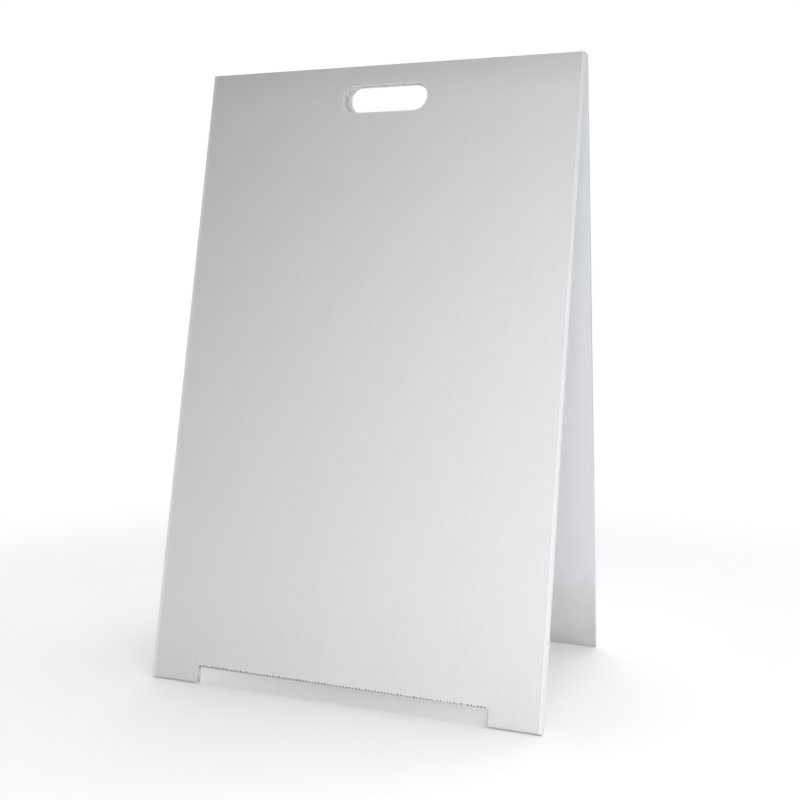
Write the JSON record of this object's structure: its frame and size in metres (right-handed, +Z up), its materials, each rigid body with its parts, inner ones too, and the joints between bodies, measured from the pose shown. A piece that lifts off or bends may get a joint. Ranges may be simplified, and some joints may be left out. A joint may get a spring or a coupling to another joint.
{
  "type": "folding sandwich board",
  "caption": "Folding A-frame sandwich board of white fluted plastic sheet: two panels on a scored living hinge along the ridge, a hand slot under it and a shallow notch that leaves feet.",
  "frame": {"origin": "on the floor, under the middle of the ridge and midway between the front and rear feet", "axes": "+X along the ridge to the viewer's right, -Y out of the front panel, +Z up"},
  "size_m": [0.6096, 0.4106, 0.944],
  "materials": {
    "sheet_liner": "satin white, faintly translucent polypropylene",
    "flute_web": "satin white, translucent polypropylene, shaded between the liners",
    "edge_web": "satin white, translucent polypropylene",
    "living_hinge": "satin white polypropylene, stress-whitened along the fold"
  },
  "bodies": {
    "front_panel": {"front_outer_liner": "sheet_liner", "front_flute_webs": "flute_web", "front_inner_liner": "sheet_liner", "front_edge_webs": "edge_web", "ridge_hinge": "living_hinge"},
    "rear_panel": {"rear_outer_liner": "sheet_liner", "rear_flute_webs": "flute_web", "rear_inner_liner": "sheet_liner", "rear_edge_webs": "edge_web"}
  },
  "joints": [
    {"name": "ridge_fold", "type": "hinge", "parent": "front_panel", "child": "rear_panel", "pos_m": [0, 0, 0.94264], "axis": [1, 0, 0], "range_deg": [-23.4, 156.6]}
  ]
}
